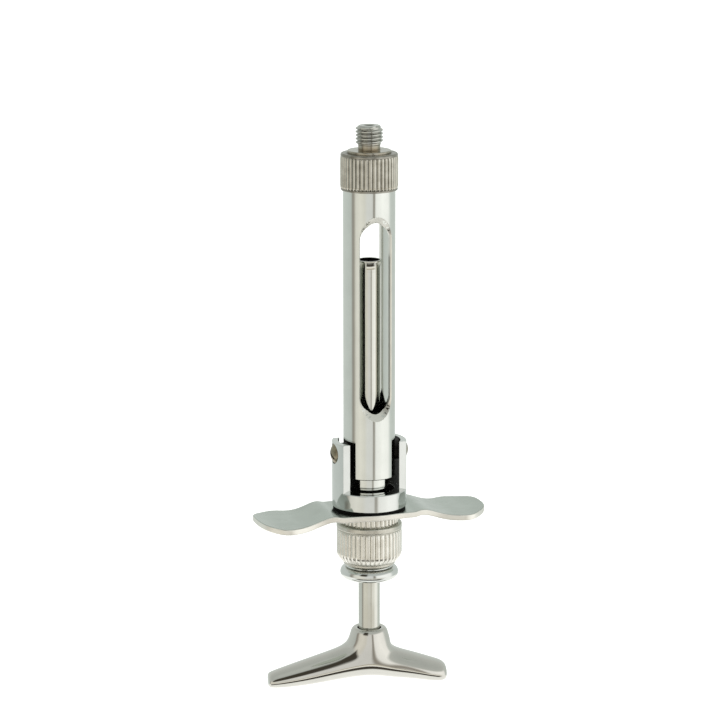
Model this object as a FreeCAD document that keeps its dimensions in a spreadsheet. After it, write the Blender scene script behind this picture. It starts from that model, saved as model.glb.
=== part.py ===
"""Aspirating dental syringe of the folding kind, in millimetres.

A barrel for a 1.8 ml cartridge hangs on two pivot screws in a yoke.  A spring pushes a centring sleeve
up into the barrel's rear end, and a piston with a T-handle slides in that sleeve.

The syringe stands along +Z with its needle end up.  X runs along the finger grip and through the pivot
screws, and the barrel's two windows face -Y and +Y.  Z = 0 is the plane of the finger pads' undersides.
"""
import FreeCAD, Part
import os
import Sketcher

doc = FreeCAD.newDocument("dental_syringe")

# --- driving dimensions -------------------------------------------------------------------------------

SIZES = {
    # finger grip, pressed from plate
    "pad_drop": 1.4,  # the hub's underside stands this far above the pads
    "plate_thickness": 1.35,
    "grip_reach": 26.5,
    "hub_radius": 8.2,
    "waist_radius": 7.1,
    "pad_radius": 8.7,
    "tip_lift": 1.2,
    # yoke
    "washer_thickness": 0.6,
    "washer_radius": 8.15,
    "ring_radius": 8.35,
    "ring_height": 3.9,
    "cup_radius": 5.6,
    "cup_floor_height": 0.55,
    "arm_bore_radius": 7.0,
    "arm_height": 11.0,
    "arm_half_depth": 4.0,
    "pivot_height": 8.42,  # above the ledge between the arms
    "tail_radius": 5.2,
    "tail_bore_radius": 4.35,
    "tail_length": 9.85,
    "edge_break": 0.15,
    # pivot
    "screw_head_radius": 2.2,
    "head_seat_radius": 2.3,
    "head_seat_reach": 7.7,
    "head_height": 1.3,
    "crown_radius": 3.2,
    "slot_width": 0.6,
    "slot_depth": 0.45,
    "shank_radius": 1.2,
    "shank_clearance": 0.05,
    "shank_end_reach": 4.75,
    "boss_radius": 2.3,
    "boss_gap": 0.06,
    # barrel
    "barrel_radius": 5.8,
    "chamber_radius": 4.55,
    "barrel_lift": 2.93,  # above the ledge
    "barrel_length": 64.6,  # below the hub cap
    "barrel_thread_radius": 5.3,
    "barrel_thread_length": 5.5,
    "window_half_width": 3.5,
    "window_start": 15.3,  # above the barrel's rear end
    "window_length": 42.1,
    "rear_window_half_width": 3.7,
    "rear_rise": 2.2,  # the rear window ends this much higher
    "dish_depth_plane": 4.2,
    "dish_flare": 1.9,
    # hub cap and needle stud
    "cap_radius": 6.4,
    "cap_wall": 2.66,
    "cap_edge": 0.35,
    "stud_tail_radius": 3.6,
    "stud_flange_radius": 4.85,
    "stud_flange_height": 0.6,
    "stud_neck_radius": 2.45,
    "stud_neck_height": 1.17,
    "needle_thread_radius": 3.0,
    "needle_thread_length": 4.26,
    "needle_hole_radius": 1.1,
    "thread_chamfer": 0.35,
    # knurled lock ring and spring housing
    "lock_knurl_radius": 6.6,
    "lock_knurl_height": 2.09,
    "housing_radius": 7.36,
    "lock_rim_height": 1.19,
    "housing_straight": 5.88,
    "housing_taper": 1.85,
    "housing_foot_radius": 5.85,
    "housing_foot": 0.56,
    "housing_floor": 1.47,
    "thrust_washer_thickness": 0.4,
    "thrust_washer_bore": 3.3,
    "thrust_washer_radius": 4.25,
    # centring sleeve
    "sleeve_stem_radius": 3.2,
    "running_clearance": 0.05,
    "sleeve_guide_radius": 4.3,
    "sleeve_guide_depth": 0.85,  # its shoulder lies this far below the ring's foot
    "nose_radius": 4.45,
    "nose_depth": 2.18,  # below the barrel's rear end
    "nose_entry": 1.22,  # inside the barrel
    "nose_lead": 0.35,
    "head_recess_radius": 3.0,
    "head_recess_depth": 2.6,
    "bush_radius": 3.4,
    "bush_length": 2.1,
    "wire_radius": 0.3,
    "coil_radius": 3.78,
    "coil_count": 7,
    # pull collar
    "collar_gap": 0.18,
    "neck_bead_radius": 5.25,
    "neck_bead_height": 1.1,
    "rim_radius": 6.55,
    "rim_bead_radius": 1.39,
    "collar_core_radius": 4.8,
    "collar_height": 3.24,
    "collar_floor": 0.8,
    # piston
    "rod_radius": 2.42,
    "piston_head_radius": 2.88,
    "piston_head_height": 2.45,
    "head_rim_height": 0.35,
    "head_dish_radius": 2.2,
    "head_dish_depth": 0.3,
    "head_tail_radius": 1.2,
    "head_tail_length": 4.0,
    "head_advance": 49.0,  # the head's top above the barrel's rear end, at rest
    "rod_thread_radius": 1.9,
    "rod_thread_length": 6.9,
    # handle
    "handle_gap": 11.73,  # from the pull collar to the handle, at rest
    "handle_turn": -11.5,
    "socket_radius": 2.65,
    "socket_depth": 1.48,
    "collar_shoulder_gap": 0.2,
    "handle_thread_radius": 1.95,
    "handle_lip_radius": 3.25,
}

sheet = doc.addObject("Spreadsheet::Sheet", "Sizes")
for row, (alias, number) in enumerate(SIZES.items(), start=1):
    sheet.set(f"A{row}", alias)
    sheet.set(f"B{row}", str(number))
    sheet.setAlias(f"B{row}", alias)
doc.recompute()


def size(total):
    """The number that a sum of aliases comes to, such as "ring_height + arm_height"."""
    value = 0.0
    sign = 1.0
    for word in total.split():
        if word in "+-":
            sign = 1.0 if word == "+" else -1.0
        else:
            value += sign * sheet.get(word)
    return value


def formula(total):
    """The same sum as an expression on the sheet."""
    words = [word if word in "+-" else f"Sizes.{word}" for word in total.split()]
    return " ".join(words)


def bind(thing, **formulas):
    """Sets and binds properties of a document object to sums of aliases."""
    for name, total in formulas.items():
        thing.setExpression(name, formula(total))


# --- levels along the axis, from the finger pads up and down ------------------------------------------

GRIP_FOOT = "pad_drop"
GRIP_TOP = GRIP_FOOT + " + plate_thickness"
RING_FOOT = GRIP_TOP + " + washer_thickness"
LEDGE = RING_FOOT + " + ring_height"
ARM_TOP = LEDGE + " + arm_height"
PIVOT = LEDGE + " + pivot_height"
BARREL_FOOT = LEDGE + " + barrel_lift"
CAP_FOOT = BARREL_FOOT + " + barrel_length"
CAP_FLOOR = CAP_FOOT + " + barrel_thread_length"
CAP_TOP = CAP_FLOOR + " + cap_wall"
STUD_SEAT = CAP_TOP + " + stud_flange_height"
THREAD_FOOT = STUD_SEAT + " + stud_neck_height"
STUD_TOP = THREAD_FOOT + " + needle_thread_length"
TAIL_FOOT = RING_FOOT + " - tail_length"
LOCK_RIM_TOP = GRIP_FOOT + " - lock_knurl_height"
HOUSING_TOP = LOCK_RIM_TOP + " - lock_rim_height"
HOUSING_TAPER_TOP = HOUSING_TOP + " - housing_straight"
HOUSING_TAPER_FOOT = HOUSING_TAPER_TOP + " - housing_taper"
HOUSING_FOOT = HOUSING_TAPER_FOOT + " - housing_foot"
SPRING_FLOOR = HOUSING_FOOT + " + housing_floor"
SPRING_FOOT = SPRING_FLOOR + " + thrust_washer_thickness"
SLEEVE_SHOULDER = RING_FOOT + " - sleeve_guide_depth"
NOSE_FOOT = BARREL_FOOT + " - nose_depth"
NOSE_TOP = BARREL_FOOT + " + nose_entry"
BUSH_TOP = NOSE_TOP + " - head_recess_depth"
BUSH_FOOT = BUSH_TOP + " - bush_length"
COLLAR_TOP = HOUSING_FOOT + " - collar_gap"
COLLAR_FOOT = COLLAR_TOP + " - collar_height"
STEM_FOOT = COLLAR_FOOT + " + collar_floor"
HEAD_TOP = BARREL_FOOT + " + head_advance"
HEAD_FOOT = HEAD_TOP + " - piston_head_height"
HANDLE_TOP = COLLAR_FOOT + " - handle_gap"
SOCKET_FLOOR = HANDLE_TOP + " - socket_depth"
ROD_SHOULDER = SOCKET_FLOOR + " + collar_shoulder_gap"
ROD_FOOT = ROD_SHOULDER + " - rod_thread_length"
ROD_BORE = "rod_radius + running_clearance"


# --- ways of making a piece ---------------------------------------------------------------------------


def turned(name, outline):
    """A turned body: its half section, a closed chain of (radius, height) points, spun about Z."""
    body = doc.addObject("PartDesign::Body", name)
    plane = [feature for feature in body.Origin.OriginFeatures if feature.Role == "XZ_Plane"][0]
    sketch = body.newObject("Sketcher::SketchObject", name + "_section")
    sketch.AttachmentSupport = [(plane, "")]
    sketch.MapMode = "FlatFace"
    corners = [
        FreeCAD.Vector(size(radius) if radius else 0, size(height), 0) for radius, height in outline
    ]
    count = len(corners)
    for index in range(count):
        sketch.addGeometry(Part.LineSegment(corners[index], corners[(index + 1) % count]), False)
    for index in range(count):
        sketch.addConstraint(Sketcher.Constraint("Coincident", index, 2, (index + 1) % count, 1))
    for index, (radius, height) in enumerate(outline):
        if radius:
            at = sketch.addConstraint(
                Sketcher.Constraint("DistanceX", -1, 1, index, 1, corners[index].x)
            )
            sketch.setExpression(f"Constraints[{at}]", formula(radius))
        else:
            sketch.addConstraint(Sketcher.Constraint("PointOnObject", index, 1, -2))
        at = sketch.addConstraint(
            Sketcher.Constraint("DistanceY", -1, 1, index, 1, corners[index].y)
        )
        sketch.setExpression(f"Constraints[{at}]", formula(height))
    spin = body.newObject("PartDesign::Revolution", name + "_turning")
    spin.Profile = sketch
    spin.ReferenceAxis = (sketch, ["V_Axis"])
    spin.Angle = 360
    sketch.Visibility = False
    return body


def cylinder(name, radius, height, at, direction, reach):
    """A Part cylinder whose foot is `reach` along `direction` from the point `at`."""
    solid = doc.addObject("Part::Cylinder", name)
    bind(solid, Radius=radius, Height=height)
    foot = at + direction * size(reach) if reach else at
    turn = FreeCAD.Rotation(FreeCAD.Vector(0, 0, 1), direction)
    solid.Placement = FreeCAD.Placement(foot, turn)
    return solid


def block(name, centre, length, width, height):
    """A Part box of plain sizes round a centre."""
    solid = doc.addObject("Part::Box", name)
    solid.Length, solid.Width, solid.Height = length, width, height
    solid.Placement.Base = centre - FreeCAD.Vector(length / 2, width / 2, height / 2)
    return solid


def cut(name, base, tools):
    """base with every tool taken away in turn."""
    result = base
    for number, tool in enumerate(tools):
        step = doc.addObject("Part::Cut", name if number == len(tools) - 1 else f"{name}_cut{number}")
        step.Base, step.Tool = result, tool
        result = step
    return result


def fuse(name, pieces):
    joined = doc.addObject("Part::MultiFuse", name)
    joined.Shapes = pieces
    joined.Refine = True
    return joined


def freeform(name, shape):
    """A piece whose shape Part's own functions give."""
    thing = doc.addObject("Part::Feature", name)
    thing.Shape = shape
    return thing


UP = FreeCAD.Vector(0, 0, 1)
OUT = {"left": FreeCAD.Vector(-1, 0, 0), "right": FreeCAD.Vector(1, 0, 0)}
FRONT = FreeCAD.Vector(0, -1, 0)
pivot_point = UP * size(PIVOT)


# --- needle end ---------------------------------------------------------------------------------------


def make_needle_stud():
    """The nickelled brass stud that the needle screws on to, pressed into the hub cap."""
    return turned(
        "needle_stud",
        [
            ("needle_hole_radius", CAP_FLOOR),
            ("stud_tail_radius", CAP_FLOOR),
            ("stud_tail_radius", CAP_TOP),
            ("stud_flange_radius", CAP_TOP),
            ("stud_flange_radius", STUD_SEAT),
            ("stud_neck_radius", STUD_SEAT),
            ("stud_neck_radius", THREAD_FOOT),
            ("needle_thread_radius", THREAD_FOOT),
            ("needle_thread_radius", STUD_TOP + " - thread_chamfer"),
            ("needle_thread_radius - thread_chamfer", STUD_TOP),
            ("needle_hole_radius", STUD_TOP),
        ],
    )


def make_hub_cap():
    """The knurled cap screwed on the barrel's needle end."""
    return turned(
        "hub_cap",
        [
            ("barrel_thread_radius", CAP_FOOT),
            ("cap_radius - edge_break", CAP_FOOT),
            ("cap_radius", CAP_FOOT + " + edge_break"),
            ("cap_radius", CAP_TOP + " - cap_edge"),
            ("cap_radius - cap_edge", CAP_TOP),
            ("stud_tail_radius", CAP_TOP),
            ("stud_tail_radius", CAP_FLOOR),
            ("barrel_thread_radius", CAP_FLOOR),
        ],
    )


# --- barrel -------------------------------------------------------------------------------------------


def window_cutter(name, side, half_width, rise):
    """A long slot with round ends through one wall, and the dished rim round it."""
    start = size(BARREL_FOOT + " + window_start") + half_width
    end = size(BARREL_FOOT + " + window_start + window_length") + rise - half_width
    depth = 1.25 * size("barrel_radius")
    middle = UP * ((start + end) / 2) + side * (depth / 2)
    pieces = [block(name + "_middle", middle, 2 * half_width, depth, end - start)]
    plane = size("dish_depth_plane")
    slope = size("dish_flare") / size("barrel_radius - dish_depth_plane")
    cone_depth = size("barrel_radius - dish_depth_plane") + 1
    flare = slope * cone_depth
    for level in (start, end):
        drill = doc.addObject("Part::Cylinder", name + "_end")
        drill.Radius, drill.Height = half_width, depth
        drill.Placement = FreeCAD.Placement(UP * level, FreeCAD.Rotation(UP, side))
        cone = doc.addObject("Part::Cone", name + "_dish_end")
        cone.Radius1, cone.Radius2, cone.Height = half_width, half_width + flare, cone_depth
        cone.Placement = FreeCAD.Placement(UP * level + side * plane, FreeCAD.Rotation(UP, side))
        pieces += [drill, cone]
    wedge = doc.addObject("Part::Wedge", name + "_dish")
    wedge.Xmin, wedge.Xmax = -half_width, half_width
    wedge.X2min, wedge.X2max = -half_width - flare, half_width + flare
    wedge.Ymin, wedge.Ymax = plane, plane + cone_depth
    wedge.Zmin, wedge.Zmax, wedge.Z2min, wedge.Z2max = start, end, start, end
    turn = 180 if side == FRONT else 0
    wedge.Placement = FreeCAD.Placement(FreeCAD.Vector(), FreeCAD.Rotation(UP, turn))
    pieces.append(wedge)
    return fuse(name, pieces)


def make_barrel():
    """The tube that takes the cartridge, tapped on each side for a pivot screw."""
    tube = turned(
        "barrel_tube",
        [
            ("chamber_radius", BARREL_FOOT),
            ("barrel_radius - edge_break", BARREL_FOOT),
            ("barrel_radius", BARREL_FOOT + " + edge_break"),
            ("barrel_radius", CAP_FOOT),
            ("barrel_thread_radius", CAP_FOOT),
            ("barrel_thread_radius", CAP_FLOOR),
            ("chamber_radius", CAP_FLOOR),
        ],
    )
    drills = [
        cylinder("tapping_" + side, "shank_radius", "arm_bore_radius", pivot_point, way, "")
        for side, way in OUT.items()
    ]
    windows = [
        window_cutter("front_window", FRONT, size("window_half_width"), 0),
        window_cutter("rear_window", -FRONT, size("rear_window_half_width"), size("rear_rise")),
    ]
    return cut("barrel", tube, windows + drills)


def make_hinge_boss(side, way):
    """The pad soldered to the barrel that spaces it from the yoke's arm."""
    stub = cylinder("stub_" + side, "boss_radius", "ring_radius", pivot_point, way, "")
    round_end = doc.addObject("Part::Cylinder", "pad_end_" + side)
    bind(round_end, Radius="arm_bore_radius - boss_gap", Height=CAP_FOOT)
    pad = doc.addObject("Part::Common", "pad_" + side)
    pad.Base, pad.Tool = stub, round_end
    seat = doc.addObject("Part::Cylinder", "pad_seat_" + side)
    bind(seat, Radius="barrel_radius", Height=CAP_FOOT)
    hole = cylinder("pad_hole_" + side, "shank_radius", "ring_radius", pivot_point, way, "")
    return cut("hinge_boss_" + side, pad, [seat, hole])


def make_pivot_screw(side, way):
    """A slotted screw with a crowned head, sunk in the arm and tapped into the barrel."""
    shank = cylinder(
        "shank_" + side,
        "shank_radius",
        "head_seat_reach - shank_end_reach",
        pivot_point,
        way,
        "shank_end_reach",
    )
    drum = cylinder(
        "drum_" + side,
        "screw_head_radius",
        "head_height + edge_break",
        pivot_point,
        way,
        "head_seat_reach",
    )
    ball = doc.addObject("Part::Sphere", "crown_" + side)
    bind(ball, Radius="crown_radius")
    ball.Placement.Base = pivot_point + way * size("head_seat_reach + head_height - crown_radius")
    crown = doc.addObject("Part::Common", "crowned_head_" + side)
    crown.Base, crown.Tool = drum, ball
    screw = fuse("screw_blank_" + side, [shank, crown])
    depth = size("slot_depth")
    slot = block(
        "screw_slot_" + side,
        FreeCAD.Vector(),
        2 * depth,
        3 * size("screw_head_radius"),
        size("slot_width"),
    )
    slot_tilt = 38 if side == "left" else 25
    slot.Placement = FreeCAD.Placement(
        pivot_point + way * size("head_seat_reach + head_height"),
        FreeCAD.Rotation(FreeCAD.Vector(1, 0, 0), slot_tilt),
    ).multiply(slot.Placement)
    return cut("pivot_screw_" + side, screw, [slot])


# --- yoke and finger grip -----------------------------------------------------------------------------


def make_yoke():
    """A ring with two upright arms for the pivot and a threaded tail that holds the stack below."""
    ring = turned(
        "yoke_ring",
        [
            ("tail_bore_radius", TAIL_FOOT),
            ("tail_radius", TAIL_FOOT),
            ("tail_radius", RING_FOOT),
            ("ring_radius - edge_break", RING_FOOT),
            ("ring_radius", RING_FOOT + " + edge_break"),
            ("ring_radius", LEDGE + " - edge_break"),
            ("ring_radius - edge_break", LEDGE),
            ("cup_radius", LEDGE),
            ("cup_radius", RING_FOOT + " + cup_floor_height"),
            ("tail_bore_radius", RING_FOOT + " + cup_floor_height"),
        ],
    )
    tube = turned(
        "arm_tube",
        [
            ("arm_bore_radius", LEDGE + " - edge_break - edge_break"),
            ("ring_radius", LEDGE + " - edge_break - edge_break"),
            ("ring_radius", ARM_TOP + " - edge_break"),
            ("ring_radius - edge_break", ARM_TOP),
            ("arm_bore_radius", ARM_TOP),
        ],
    )
    span = 3 * size("ring_radius")
    slab = block(
        "arm_slab", UP * size(ARM_TOP), span, 2 * size("arm_half_depth"), 2 * size(ARM_TOP)
    )
    arms = doc.addObject("Part::Common", "yoke_arms")
    arms.Base, arms.Tool = tube, slab
    blank = fuse("yoke_blank", [ring, arms])
    drills = []
    for side, way in OUT.items():
        drills.append(
            cylinder(
                "arm_hole_" + side,
                "shank_radius + shank_clearance",
                "ring_radius",
                pivot_point,
                way,
                "barrel_radius",
            )
        )
        drills.append(
            cylinder(
                "head_seat_" + side,
                "head_seat_radius",
                "ring_radius",
                pivot_point,
                way,
                "head_seat_reach",
            )
        )
    return cut("yoke", blank, drills)


def make_grip_washer():
    return turned(
        "grip_washer",
        [
            ("tail_radius", GRIP_TOP),
            ("washer_radius", GRIP_TOP),
            ("washer_radius", RING_FOOT),
            ("tail_radius", RING_FOOT),
        ],
    )


def grip_side_face():
    """The plate seen from the side: a flat hub, a low crest, a bend down to each pad, a raised tip."""
    hub, foot = size("hub_radius"), size("pad_drop")
    pad_start, pad_end, reach = hub + 10.0, hub + 13.0, size("grip_reach") + 1
    # underside from the right hub edge to the tip, as a smooth curve through its bend points
    right = [
        (hub, foot),
        (hub + 1.8, foot + 0.3),
        (hub + 4.0, foot - 0.05),
        (hub + 6.6, foot * 0.35),
        (pad_start, 0.0),
    ]
    thickness = size("plate_thickness")

    def edge(rise):
        """One long edge of the section, at `rise` above the underside, from tip to tip."""
        curves = []
        for sign in (-1, 1):
            bend = Part.BSplineCurve()
            bend.interpolate(
                Points=[FreeCAD.Vector(sign * x, 0, z + rise) for x, z in right],
                InitialTangent=FreeCAD.Vector(sign, 0, 0),
                FinalTangent=FreeCAD.Vector(sign, 0, 0),
            )
            pad = Part.LineSegment(
                FreeCAD.Vector(sign * pad_start, 0, rise), FreeCAD.Vector(sign * pad_end, 0, rise)
            )
            lift = size("tip_lift")
            tip = Part.Arc(
                FreeCAD.Vector(sign * pad_end, 0, rise),
                FreeCAD.Vector(sign * (pad_end + reach) / 2, 0, rise + lift * 0.27),
                FreeCAD.Vector(sign * reach, 0, rise + lift),
            )
            curves.append([bend, pad, tip])
        hub_line = Part.LineSegment(
            FreeCAD.Vector(-hub, 0, foot + rise), FreeCAD.Vector(hub, 0, foot + rise)
        )
        return curves[0] + [hub_line] + curves[1]

    lower, upper = edge(0), edge(thickness)
    lift = size("tip_lift")
    ends = [
        Part.LineSegment(
            FreeCAD.Vector(sign * reach, 0, lift), FreeCAD.Vector(sign * reach, 0, lift + thickness)
        )
        for sign in (-1, 1)
    ]
    edges = [curve.toShape() for curve in lower + upper + ends]
    return Part.Face(Part.Wire(Part.sortEdges(edges)[0]))


def grip_plan_face():
    """The plate seen from above: a round hub, a waist each side and a broad rounded pad."""
    hub, waist = size("hub_radius"), size("waist_radius")
    pad, reach = size("pad_radius"), size("grip_reach")
    quarter = [
        (0, hub),
        (5.0, hub - 0.45),
        (10.5, waist + 0.25),
        (14.0, waist),
        (17.5, pad - 0.85),
        (20.6, pad),
        (23.9, pad - 1.7),
        (25.9, pad / 2),
        (reach, 0),
    ]
    across = [(x, y) for x, y in quarter]
    round_again = (
        across
        + [(x, -y) for x, y in reversed(across[:-1])]
        + [(-x, -y) for x, y in across[1:]]
        + [(-x, y) for x, y in reversed(across[1:-1])]
    )
    outline = Part.BSplineCurve()
    outline.interpolate(
        Points=[FreeCAD.Vector(x, y, 0) for x, y in round_again], PeriodicFlag=True
    )
    return Part.Face(Part.Wire([outline.toShape()]))


def make_finger_grip():
    """A bent plate with two broad pads: its side view and its plan in common, bored for the tail."""
    depth = 3 * size("pad_radius")
    side = grip_side_face()
    side.translate(FreeCAD.Vector(0, -depth / 2, 0))
    bar = side.extrude(FreeCAD.Vector(0, depth, 0))
    plan = grip_plan_face()
    plan.translate(FreeCAD.Vector(0, 0, -depth / 2))
    column = plan.extrude(FreeCAD.Vector(0, 0, depth))
    bore = Part.makeCylinder(size("tail_radius"), depth, FreeCAD.Vector(0, 0, -depth / 2))
    plate = bar.common(column).cut(bore)
    return freeform("finger_grip", plate.Solids[0])


# --- knurled stack and release spring -----------------------------------------------------------------


def make_lock_ring():
    """The knurled ring that clamps the finger grip against the yoke."""
    return turned(
        "lock_ring",
        [
            ("tail_radius", HOUSING_TOP),
            ("housing_radius - edge_break", HOUSING_TOP),
            ("housing_radius", HOUSING_TOP + " + edge_break"),
            ("housing_radius", LOCK_RIM_TOP + " - edge_break"),
            ("housing_radius - edge_break", LOCK_RIM_TOP),
            ("lock_knurl_radius", LOCK_RIM_TOP),
            ("lock_knurl_radius", GRIP_FOOT),
            ("tail_radius", GRIP_FOOT),
        ],
    )


def make_spring_housing():
    """The knurled cup screwed on the yoke's tail, with the spring inside."""
    return turned(
        "spring_housing",
        [
            ("sleeve_stem_radius + running_clearance", HOUSING_FOOT),
            ("housing_foot_radius", HOUSING_FOOT),
            ("housing_foot_radius", HOUSING_TAPER_FOOT),
            ("housing_radius", HOUSING_TAPER_TOP),
            ("housing_radius", HOUSING_TOP + " - edge_break"),
            ("housing_radius - edge_break", HOUSING_TOP),
            ("tail_radius", HOUSING_TOP),
            ("tail_radius", TAIL_FOOT + " - running_clearance"),
            ("tail_bore_radius", TAIL_FOOT + " - running_clearance"),
            ("tail_bore_radius", SPRING_FLOOR),
            ("sleeve_stem_radius + running_clearance", SPRING_FLOOR),
        ],
    )


def make_thrust_washer():
    return turned(
        "thrust_washer",
        [
            ("thrust_washer_bore", SPRING_FLOOR),
            ("thrust_washer_radius", SPRING_FLOOR),
            ("thrust_washer_radius", SPRING_FOOT),
            ("thrust_washer_bore", SPRING_FOOT),
        ],
    )


def make_release_spring():
    """The compression spring that holds the centring sleeve up in the barrel."""
    wire, coil = size("wire_radius"), size("coil_radius")
    foot, top = size(SPRING_FOOT) + wire, size(SLEEVE_SHOULDER) - wire
    helix = Part.makeHelix((top - foot) / size("coil_count"), top - foot, coil)
    section = Part.Wire(
        Part.makeCircle(wire, FreeCAD.Vector(coil, 0, 0), FreeCAD.Vector(0, 1, 0))
    )
    coils = Part.Wire(helix).makePipeShell([section], True, True)
    coils.translate(UP * foot)
    return freeform("release_spring", coils)


# --- centring sleeve ----------------------------------------------------------------------------------


def make_centring_sleeve():
    """The sprung sleeve whose nose locks the barrel in line; the piston rod runs in it."""
    return turned(
        "centring_sleeve",
        [
            (ROD_BORE, STEM_FOOT),
            ("sleeve_stem_radius", STEM_FOOT),
            ("sleeve_stem_radius", SLEEVE_SHOULDER),
            ("sleeve_guide_radius", SLEEVE_SHOULDER),
            ("sleeve_guide_radius", NOSE_FOOT),
            ("nose_radius", NOSE_FOOT),
            ("nose_radius", NOSE_TOP + " - nose_lead"),
            ("nose_radius - nose_lead", NOSE_TOP),
            ("head_recess_radius", NOSE_TOP),
            ("head_recess_radius", BUSH_TOP),
            ("bush_radius", BUSH_TOP),
            ("bush_radius", BUSH_FOOT),
            (ROD_BORE, BUSH_FOOT),
        ],
    )


def make_rod_bush():
    """The plastic bush in the sleeve's nose that grips the rod lightly."""
    return turned(
        "rod_bush",
        [
            (ROD_BORE, BUSH_FOOT),
            ("bush_radius", BUSH_FOOT),
            ("bush_radius", BUSH_TOP),
            (ROD_BORE, BUSH_TOP),
        ],
    )


def make_pull_collar():
    """The beaded collar on the sleeve's foot: two fingers draw it down to free the barrel."""
    core = turned(
        "collar_core",
        [
            ("", COLLAR_FOOT),
            ("collar_core_radius", COLLAR_FOOT),
            ("collar_core_radius", COLLAR_TOP + " - neck_bead_height"),
            ("collar_core_radius", COLLAR_TOP),
            ("", COLLAR_TOP),
        ],
    )
    rim = doc.addObject("Part::Torus", "collar_rim")
    bind(rim, Radius1="rim_radius - rim_bead_radius", Radius2="rim_bead_radius")
    rim.Placement.Base = UP * size(COLLAR_FOOT + " + rim_bead_radius")
    neck = doc.addObject("Part::Torus", "collar_neck")
    neck_bead = size("neck_bead_height") / 2
    neck.Radius1, neck.Radius2 = size("neck_bead_radius") - neck_bead, neck_bead
    neck.Placement.Base = UP * (size(COLLAR_TOP) - neck_bead)
    blank = fuse("collar_blank", [core, rim, neck])
    rod_hole = cylinder("collar_rod_hole", ROD_BORE, "barrel_length", UP * -60, UP, "")
    stem_hole = doc.addObject("Part::Cylinder", "collar_stem_hole")
    bind(stem_hole, Radius="sleeve_stem_radius", Height="barrel_length")
    stem_hole.Placement.Base = UP * size(STEM_FOOT)
    return cut("pull_collar", blank, [rod_hole, stem_hole])


# --- piston -------------------------------------------------------------------------------------------


def make_piston_rod():
    return turned(
        "piston_rod",
        [
            ("", ROD_FOOT),
            ("rod_thread_radius", ROD_FOOT),
            ("rod_thread_radius", ROD_SHOULDER),
            ("rod_radius - edge_break", ROD_SHOULDER),
            ("rod_radius", ROD_SHOULDER + " + edge_break"),
            ("rod_radius", HEAD_FOOT),
            ("head_tail_radius", HEAD_FOOT),
            ("head_tail_radius", HEAD_FOOT + " - head_tail_length"),
            ("", HEAD_FOOT + " - head_tail_length"),
        ],
    )


def make_piston_head():
    """The flared head that bears on the cartridge's plunger, screwed into the rod."""
    flare_step = "head_rim_height + head_rim_height"
    return turned(
        "piston_head",
        [
            ("", HEAD_FOOT + " - head_tail_length"),
            ("head_tail_radius", HEAD_FOOT + " - head_tail_length"),
            ("head_tail_radius", HEAD_FOOT),
            ("rod_radius", HEAD_FOOT),
            ("rod_radius", HEAD_TOP + " - head_rim_height - " + flare_step.replace("+", "-")),
            ("rod_radius + edge_break", HEAD_TOP + " - " + flare_step.replace("+", "-")),
            ("piston_head_radius", HEAD_TOP + " - head_rim_height"),
            ("piston_head_radius", HEAD_TOP),
            ("head_dish_radius", HEAD_TOP),
            ("", HEAD_TOP + " - head_dish_depth"),
        ],
    )


# --- handle -------------------------------------------------------------------------------------------

# stations along the handle: reach, centre height above the handle's top, half height, half width
HANDLE_STATIONS = [
    (-23.1, -11.9, 0.6, 1.3),
    (-22.4, -11.85, 1.35, 2.6),
    (-20.7, -11.6, 1.9, 3.4),
    (-15.2, -10.5, 2.7, 4.2),
    (-9.8, -9.2, 3.15, 4.7),
    (-6.2, -8.3, 3.5, 4.9),
    (0.0, -7.8, 3.45, 5.0),
    (6.2, -8.55, 3.2, 4.9),
    (10.0, -9.4, 2.95, 4.9),
    (14.0, -10.45, 2.6, 4.7),
    (16.4, -10.95, 2.1, 3.9),
    (17.4, -11.1, 1.2, 2.4),
    (17.75, -11.15, 0.5, 1.1),
]


def ellipse_across(reach, level, half_height, half_width):
    """A station's section: an ellipse in the plane across the handle."""
    centre = FreeCAD.Vector(reach, 0, level)
    upright, across = FreeCAD.Vector(0, 0, half_height), FreeCAD.Vector(0, half_width, 0)
    return Part.Wire([Part.Ellipse(centre + across, centre + upright, centre).toShape()])


def make_handle():
    """The forged T-handle: two drooping arms, one longer, and a flared socket for the rod."""
    top = size(HANDLE_TOP)
    arms = Part.makeLoft(
        [ellipse_across(x, top + z, h, w) for x, z, h, w in HANDLE_STATIONS], True, False
    )
    lip = size("handle_lip_radius")
    flank = Part.BSplineCurve()
    flank.interpolate(
        [
            FreeCAD.Vector(lip, 0, top),
            FreeCAD.Vector(lip + 0.75, 0, top - 0.65),
            FreeCAD.Vector(lip + 1.1, 0, top - 2.4),
            FreeCAD.Vector(lip + 1.5, 0, top - 4.6),
            FreeCAD.Vector(lip + 1.7, 0, top - 7.6),
        ]
    )
    corners = [FreeCAD.Vector(lip + 1.7, 0, top - 7.6), FreeCAD.Vector(0, 0, top - 7.6)]
    corners += [FreeCAD.Vector(0, 0, top), FreeCAD.Vector(lip, 0, top)]
    sides = [Part.makeLine(a, b) for a, b in zip(corners, corners[1:])]
    section = Part.Face(Part.Wire([flank.toShape(), *sides]))
    socket = section.revolve(FreeCAD.Vector(), UP, 360)
    rod_seat = Part.makeCylinder(
        size("socket_radius"), 20, UP * size(SOCKET_FLOOR)
    )
    depth = size("rod_thread_length - collar_shoulder_gap") + 0.3
    thread = Part.makeCylinder(
        size("handle_thread_radius"), depth + 1, UP * (size(SOCKET_FLOOR) - depth)
    )
    handle = arms.fuse(socket).cut(rod_seat).cut(thread)
    piece = freeform("handle", handle.Solids[0])
    piece.Placement = FreeCAD.Placement(
        FreeCAD.Vector(), FreeCAD.Rotation(UP, size("handle_turn"))
    )
    return piece


# --- assembly -----------------------------------------------------------------------------------------

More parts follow.
